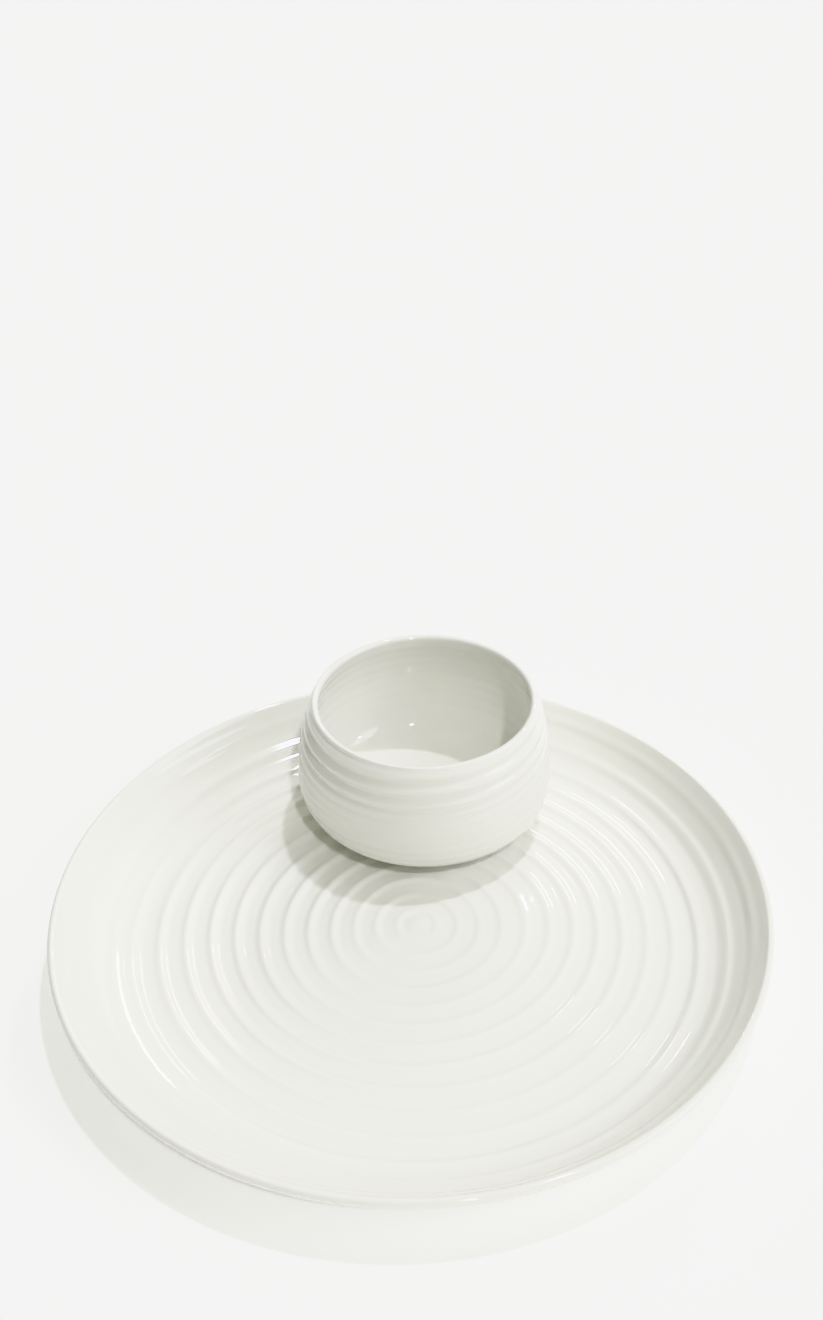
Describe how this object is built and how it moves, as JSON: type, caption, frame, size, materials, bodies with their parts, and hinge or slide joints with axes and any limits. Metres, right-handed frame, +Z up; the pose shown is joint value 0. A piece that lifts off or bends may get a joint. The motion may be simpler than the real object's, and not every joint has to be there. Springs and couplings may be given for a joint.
{
  "type": "chip and dip server",
  "caption": "Round shallow platter with finger-thrown rings and a raised rim, and a loose squat ribbed dish that stands toward its back edge for dip",
  "frame": {"origin": "On the table, under the middle of the platter's rim", "axes": "+Z up out of the platter, +Y from the front edge toward the dish at the back, +X to the right"},
  "size_m": [0.32, 0.3194, 0.074],
  "materials": {
    "platter_glaze": "gloss white glaze, bare foot ring",
    "dish_glaze": "gloss white glaze, bare foot ring"
  },
  "bodies": {
    "platter": {"platter": "platter_glaze"},
    "dish": {"dip_dish": "dish_glaze"}
  },
  "joints": [
    {"name": "dish_lift", "type": "slide", "parent": "platter", "child": "dish", "axis": [0, 0, 1], "range_m": [0, 0.12]}
  ]
}
